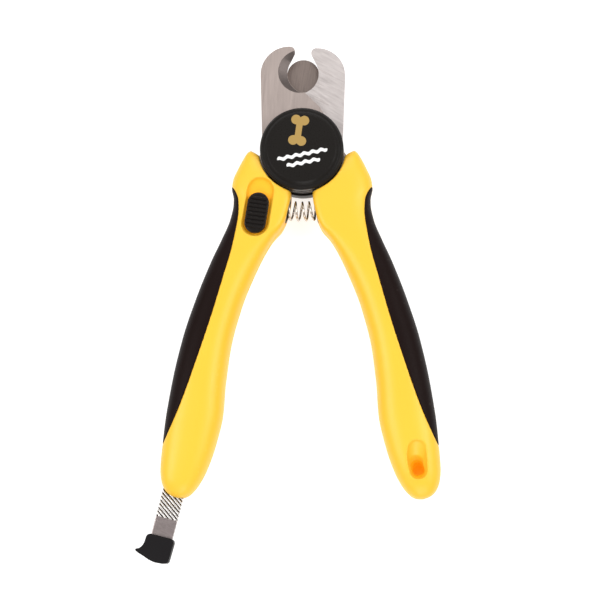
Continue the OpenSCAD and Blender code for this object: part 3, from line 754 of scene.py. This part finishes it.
def hang_hole_shade(point):
    """Strength of the painted shade and glow at a point of the right shell: full in the bore and its mouth,
    weak in the well.
    """
    spot = point - HANG_HOLE - WELL_SHIFT
    below = min(1.0, max(0.0, (WELL_TOP + 0.2 - spot.z) / 0.4))
    along = hang_axis().inverted() @ point
    bore = min(1.0, max(0.0, (HANG_BORE / 2 + 0.5 - along.xy.length) / 0.3)) if along.z < 0.5 else 0.0
    mouth = inside_slot(Vector((spot.x, spot.y + 0.8, 0)), 6.2, 4.2, 0.3)
    return max(0.2 * inside_slot(spot, *HANG_WELL, 0.25) * below, mouth * below, bore)


def make_shell(name, front, place, body, node, cutters, hollow=None):
    """Hard shell of a handle; hollow marks where painted shade and a painted glow tint it."""
    obj = solid(name, half_body(front))
    carve(obj, grip_prism())
    carve(obj, cap_well())
    carve(obj, seat_pocket())
    for cutter in cutters:
        carve(obj, cutter)
    melt(obj, VOXEL, 4)
    # The hollow attribute carries the mask of painted shade and glow.
    if hollow:
        depth = obj.data.attributes.new("hollow", "FLOAT", "POINT")
        for spot, vertex in zip(depth.data, obj.data.vertices):
            spot.value = hollow(vertex.co)
    return finish_piece(obj, body, yellow, [node], place)


def make_grip(name, place, body, node, cutters=()):
    """Soft grip on the outer side of a handle."""
    obj = solid(name, handle_body())
    carve(obj, grip_prism(), "INTERSECT")
    carve(obj, cap_well())
    for cutter in cutters:
        carve(obj, cutter)
    melt(obj, VOXEL, 3)
    return finish_piece(obj, body, grip_rubber, [node], place)


make_shell("left_shell_front", True, LEFT, "left_lever", "left_front_shell",
           [lock_recess(), stem_slot(), bolt_channel(), file_channel()], lock_recess_shade)
make_shell("left_shell_rear", False, LEFT, "left_lever", "left_rear_shell",
           [node_copy("back_blade", LEFT), file_channel()])
make_shell("right_shell_front", True, RIGHT, "right_lever", "right_front_shell",
           [node_copy("front_blade", RIGHT), hang_dish(), hang_well(), hang_bore(0.3)], hang_hole_shade)
make_shell("right_shell_rear", False, RIGHT, "right_lever", "right_rear_shell",
           [hang_bore(3), hang_cone()], hang_hole_shade)
make_grip("left_soft_grip", LEFT, "left_lever", "left_grip", [file_channel(0.6)])
make_grip("right_soft_grip", RIGHT, "right_lever", "right_grip")


# ---- pivot caps ----

def spun_cap(name, profile, material, node, body, round_by):
    """Turned cap: its profile spun once round the pivot, with its corners rounded."""
    bm = bmesh.new()
    points = [bm.verts.new((r, 0, z)) for r, z in profile]
    edges = [bm.edges.new(pair) for pair in zip(points, points[1:])]
    bmesh.ops.spin(
        bm, geom=points + edges, cent=(0, 0, 0), axis=(0, 0, 1), angle=2 * math.pi, steps=128, use_merge=True)
    bmesh.ops.remove_doubles(bm, verts=bm.verts, dist=1e-4)
    bmesh.ops.recalc_face_normals(bm, faces=bm.faces)
    soften_edges(bm, round_by, 20, 4)
    obj = solid(name, bm, MM)
    smooth_faces(obj, 40)
    return finish_piece(obj, body, material, [node])


spun_cap("pivot_cap_front", [
    (0, 14.0), (7.2, 14.0), (7.2, 16.6), (13.0, 15.8), (13.0, 12.2), (14.6, 12.2), (CAP_R, 12.35),
    (CAP_R, 13.45), (14.25, 13.65), (14.25, 14.1), (CAP_R, 14.3), (CAP_R, 16.4), (14.0, 17.2),
    (13.2, 17.25), (12.75, 17.75), (12.1, CAP_TOP), (0, CAP_TOP),
], cap_plastic, "front_cap", "right_lever", 0.22)
spun_cap("pivot_cap_rear", [
    (0, 0), (11.9, 0), (12.3, 0.35), (12.9, 0.35), (13.3, 0), (13.8, 0), (CAP_R, 0.9), (CAP_R, 5.75),
    (14.55, 5.9), (13.1, 5.9), (13.1, 1.6), (0, 1.6),
], cap_plastic, "rear_cap", "right_lever", 0.18)


def make_bone():
    """Generic bone mark printed on the cap's face."""
    thick, shaft, knob = 0.3, 1.15, 1.75
    bm = bmesh.new()
    prism(bm, [(-shaft, -3.4), (shaft, -3.4), (shaft, 3.4), (-shaft, 3.4)], 0, thick)
    for x in (-1.45, 1.45):
        for y in (-3.7, 3.7):
            part = bmesh.ops.create_cone(
                bm, cap_ends=True, segments=40, radius1=knob, radius2=knob, depth=thick)["verts"]
            bmesh.ops.translate(bm, verts=part, vec=(x, y, thick / 2))
    obj = solid("bone_mark", bm)
    melt(obj, 0.09, 3)
    turn = Matrix.Translation((-1.0, 6.2, CAP_TOP - 0.25)) @ Matrix.Rotation(math.radians(-8), 4, "Z")
    finish_piece(obj, "right_lever", gold_print, (), MM @ turn)


def make_print_line(name, length, thick, centre):
    """Plain wavy line printed on the cap's face."""
    swing, wavelength = 0.3, 3.0
    bm = bmesh.new()
    bmesh.ops.create_grid(bm, x_segments=90, y_segments=2, size=0.5)
    for v in bm.verts:
        along = v.co.x
        ends = math.sqrt(max(0.0, 1 - (abs(along) * 2) ** 24))
        wave = swing * math.sin(along * length * 2 * math.pi / wavelength)
        v.co = (along * length, wave + v.co.y * thick * max(ends, 0.05), 0)
    grown = bmesh.ops.extrude_face_region(bm, geom=bm.faces[:])["geom"]
    bmesh.ops.translate(bm, verts=[g for g in grown if isinstance(g, bmesh.types.BMVert)], vec=(0, 0, 0.25))
    place = MM @ Matrix.Translation(centre) @ Matrix.Rotation(math.radians(12), 4, "Z")
    obj = solid(name, bm, place)
    smooth_faces(obj, 40)
    finish_piece(obj, "right_lever", white_print)


make_bone()
make_print_line("print_line_long", 18.0, 1.25, (0.3, -2.4, CAP_TOP - 0.2))
make_print_line("print_line_short", 12.0, 1.25, (0.7, -5.3, CAP_TOP - 0.2))


# ---- blades from the CAD's own solids with their edges softened, and fittings that keep the CAD's solids with new materials ----

GROUND_FACE = 2e-7     # square metres; the eased edges are all smaller
HUB_RIM_R = 0.01475    # metres


def refine(name, node, body, material, width, rim, ground=None):
    """A CAD solid with its edges eased; its hub's rim gets a near-black painted shade, and its ground face
    may get a far darker steel, partly painted shade.
    """
    bm = node_copy(node)
    bm.transform(MM.inverted())
    bmesh.ops.dissolve_limit(bm, angle_limit=math.radians(0.5), verts=bm.verts, edges=bm.edges)
    soften_edges(bm, width, 30, 2)
    bmesh.ops.triangulate(bm, faces=bm.faces)
    obj = solid(name, bm, MM)
    smooth_faces(obj, 30)
    finish_piece(obj, body, material, [node])
    for extra in (rim, ground):
        if extra:
            obj.data.materials.append(extra)
    for face in obj.data.polygons:
        if abs(face.normal.z) > 0.999:
            face.use_smooth = False
        # painted shade on the hub's rim faces, where the caps shade them
        elif face.center.xy.length < HUB_RIM_R and abs(face.normal.z) < 0.9:
            face.material_index = 1
        # the ground face's darker colour is partly painted shade
        elif ground and 0.1 < face.normal.z < 0.97 and face.area > GROUND_FACE:
            face.material_index = 2
    return obj


refine("cutting_blade_front", "front_blade", "right_lever", front_steel, 0.08, hub_rim_shade,
       ground_steel_and_shade)
refine("cutting_blade_back", "back_blade", "left_lever", back_steel, 0.08, hub_rim_shade)
refine("swing_guard", "nail_guard", "guard", guard_steel, 0.12, hub_rim_shade)

for node, material in (
    ("blade_stop_pin", fitting_steel), ("pivot_bolt", fitting_steel), ("pivot_nut", fitting_steel),
    ("front_washer", fitting_steel), ("wave_washer", fitting_steel), ("left_tang_pins", fitting_steel),
    ("right_tang_pins", fitting_steel), ("lock_bolt", fitting_steel), ("lock_detent_spring", wire_steel),
    ("file_retaining_spring", wire_steel), ("left_spring_seat", seat_plastic),
    ("right_spring_seat", seat_plastic),
):
    part = frame["nodes"][node]
    part.data.materials.clear()
    part.data.materials.append(material)


# ---- return spring ----

def make_return_spring():
    """Coil spun round X, then bent so that it dips between the two tilted seats."""
    wire, outer, turns = 0.75, 7.2, 6
    floor = Vector((3.7, SEAT_Y, 0))
    half = floor.x * math.cos(HALF_OPEN) - floor.y * math.sin(HALF_OPEN)
    end_y = floor.x * math.sin(HALF_OPEN) + floor.y * math.cos(HALF_OPEN)
    dip = half * math.tan(HALF_OPEN) / 2
    reach = half - wire / 2
    steps = 48 * turns
    bm = bmesh.new()
    ring = bmesh.ops.create_circle(bm, radius=wire / 2, segments=16)["verts"]
    stand = Matrix.Translation((-reach, outer / 2 - wire / 2, 0))
    bmesh.ops.transform(bm, verts=ring, matrix=stand)
    bmesh.ops.spin(
        bm, geom=list(ring) + bm.edges[:], cent=(0, 0, 0), axis=(1, 0, 0), angle=2 * math.pi * turns,
        dvec=(2 * reach / steps, 0, 0), steps=steps, use_merge=False)
    bmesh.ops.holes_fill(bm, edges=[e for e in bm.edges if e.is_boundary], sides=0)
    for v in bm.verts:
        x, y, z = v.co
        slope = math.atan(2 * dip * x / half ** 2)
        axis_y = end_y - dip * (1 - (x / half) ** 2)
        v.co = (x - y * math.sin(slope), axis_y + y * math.cos(slope), MID_Z + z)
    obj = solid("handle_return_spring", bm, MM)
    smooth_faces(obj, 50)
    finish_piece(obj, None, wire_steel, ["return_spring"])
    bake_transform(obj)


make_return_spring()


# ---- lock button ----

def make_lock_button():
    """Round-ended button with eight thumb ribs across it."""
    length, width, ribs, pitch, half_rib = 14.5, 7.5, 8, 1.45, 0.42
    low, top = RECESS_FLOOR + 0.1, 16.4
    bm = bmesh.new()
    prism(bm, stadium(length, width), low, top - 0.55)
    prism(bm, stadium(length - 0.9, width - 0.9), top - 0.6, top - 0.45)
    for i in range(ribs):
        y = (i - (ribs - 1) / 2) * pitch
        end = max(0.0, abs(y) - (length - width) / 2)
        reach = math.sqrt((width / 2 - 0.35) ** 2 - end ** 2)
        low_y, high_y = y - half_rib, y + half_rib
        rib = [(-reach, low_y), (reach, low_y), (reach, high_y), (-reach, high_y)]
        prism(bm, rib, top - 0.9, top + 0.1)
    rod(1.4, 11.9, low + 0.5, 32, bm=bm)
    at_lock(bm, -LOCK_TRAVEL / 2)
    obj = solid("thumb_lock_button", bm)
    melt(obj, 0.11, 4)
    finish_piece(obj, "lock", button_plastic, ["lock_button"], LEFT)


make_lock_button()


# ---- file ----

COARSE_FROM = 6.4      # from the cap's edge, along the file
LONG_SLOPE, LONG_PITCH = 0.709, 1.3
CROSS_SLOPE, CROSS_PITCH = 0.55, 0.65


def tooth_cut(x, y):
    """How far, from 0 to 1, the file's long cuts and its crossing cuts go at a place on its face."""
    if y < COARSE_FROM:
        return 0.0, 0.0
    first = ((y - LONG_SLOPE * x) / LONG_PITCH) % 1.0
    second = ((y + CROSS_SLOPE * x) / CROSS_PITCH) % 1.0
    return (math.sin(math.pi * first / 0.5) if first < 0.5 else 0.0,
            math.sin(math.pi * second / 0.4) if second < 0.4 else 0.0)


def make_file():
    """Flat file: a fine grid drawn down into a plate, with its cuts pressed into both faces."""
    length, width, thick = FILE_LENGTH, FILE_WIDTH, FILE_THICKNESS
    bm = bmesh.new()
    bmesh.ops.create_grid(bm, x_segments=44, y_segments=450, size=0.5)
    top_face = Matrix.Translation((0, length / 2 - FILE_IN_CAP, thick / 2))
    bm.transform(top_face @ Matrix.Diagonal((width, length, 1, 1)))
    grown = bmesh.ops.extrude_face_region(bm, geom=bm.faces[:])["geom"]
    bmesh.ops.translate(bm, verts=[g for g in grown if isinstance(g, bmesh.types.BMVert)], vec=(0, 0, -thick))
    ridge_highlight = bm.verts.layers.float.new("ridge_highlight")
    groove = bm.verts.layers.float.new("groove")
    rounding = 0.18
    for v in bm.verts:
        edge = max(0.0, abs(v.co.x) - width / 2 + rounding) / rounding
        cut, cross = tooth_cut(v.co.x, v.co.y)
        # The groove mask lays painted shade in the cuts; the ridge mask lays a painted highlight over the
        # whole coarse zone.
        v[groove] = min(1.0, cut * 1.4 + 0.35 * cross)
        v[ridge_highlight] = 1.0 if v.co.y >= COARSE_FROM else 0.0
        v.co.z -= math.copysign(0.26 * cut + 0.08 * cross + 0.12 * edge ** 2, v.co.z)
    at_file_mouth(bm, FILE_OUT)
    obj = solid("two_cut_file", bm)
    smooth_faces(obj, 35)
    finish_piece(obj, "file", file_metal, ["nail_file"], LEFT)


def make_file_cap():
    """Hooked rubber cap pressed over the end of the file, with an arc under its hook."""
    outline = [(-4.7, -1.2), (-4.3, -0.35), (-3.5, 0), (3.9, 0), (4.7, -0.45), (5.1, -1.2), (5.15, -2.5)]
    outline += [(7.5 - 2.35 * math.cos(math.radians(a)), -2.5 - 3.6 * math.sin(math.radians(a)))
                for a in range(12, 91, 12)]
    outline += [(7.65, -6.35), (7.5, -6.85), (6.5, -7.35), (4.3, -8.05), (2.1, -8.85), (0.1, -9.2),
                (-2.3, -9.05), (-4.1, -8.5), (-4.55, -8.0), (-4.6, -6.4)]
    bm = bmesh.new()
    prism(bm, outline, -2.7, 2.7)
    at_file_mouth(bm, FILE_OUT)
    obj = solid("file_end_cap", bm)
    slot_low, slot_high = (-FILE_WIDTH / 2 - 0.02, -FILE_IN_CAP, -0.62), (FILE_WIDTH / 2 + 0.02, 1, 0.62)
    carve(obj, at_file_mouth(block(slot_low, slot_high), FILE_OUT))
    melt(obj, 0.16, 6)
    finish_piece(obj, "file", end_rubber, ["file_cap"], LEFT)


make_file()
make_file_cap()


# ---- floor, light and camera ----

def make_stage():
    bm = bmesh.new()
    bmesh.ops.create_grid(bm, x_segments=1, y_segments=1, size=2.5)
    floor = solid("studio_floor", bm)
    material, tree, shader = new_material("studio_floor_white")
    shader.inputs["Base Color"].default_value = (0.55, 0.55, 0.55, 1)
    shader.inputs["Emission Color"].default_value = (1.0, 1.0, 1.0, 1)
    shader.inputs["Emission Strength"].default_value = 0.72
    shader.inputs["Roughness"].default_value = 0.8
    shader.inputs["Specular IOR Level"].default_value = 0.1
    floor.data.materials.append(material)
    floor.location.z = -0.0005


def area_light(name, place, size, power, aim=(0, -0.05, 0)):
    data = bpy.data.lights.new(name, "AREA")
    data.shape = "DISK"
    data.size = size
    data.energy = power
    lamp = bpy.data.objects.new(name, data)
    bpy.context.scene.collection.objects.link(lamp)
    lamp.location = place
    lamp.rotation_mode = "QUATERNION"
    lamp.rotation_quaternion = (Vector(aim) - Vector(place)).to_track_quat("-Z", "Y")


def make_light():
    world = bpy.data.worlds.new("studio_air")
    world.use_nodes = True
    world.node_tree.nodes["Background"].inputs["Color"].default_value = (1.0, 0.99, 0.98, 1)
    world.node_tree.nodes["Background"].inputs["Strength"].default_value = 0.4
    bpy.context.scene.world = world
    area_light("soft_left", (-0.62, -0.1, 0.78), 0.6, 4.4)
    area_light("soft_right", (0.62, 0.05, 0.78), 0.6, 4.4)
    area_light("soft_far", (0.0, 0.8, 0.7), 0.7, 3.4)
    area_light("soft_near", (0.1, -0.95, 0.6), 0.6, 3.4)


def make_camera():
    data = bpy.data.cameras.new("studio_camera")
    data.sensor_width = 36
    data.lens = 123.4
    data.clip_start, data.clip_end = 0.05, 20
    camera = bpy.data.objects.new("studio_camera", data)
    bpy.context.scene.collection.objects.link(camera)
    sight = Vector((-0.04565, 0.15293, -0.98718)).normalized()
    upright = Vector((0.0, 0.98821, 0.15309)).normalized()
    side = sight.cross(upright)
    turn = Matrix((side, upright, -sight)).transposed().to_4x4()
    camera.matrix_world = Matrix.Translation((0.03235, -0.16276, 0.72037)) @ turn
    bpy.context.scene.camera = camera


make_stage()
make_light()
make_camera()
bpy.context.scene.view_settings.view_transform = "Standard"

bpy.context.view_layer.update()
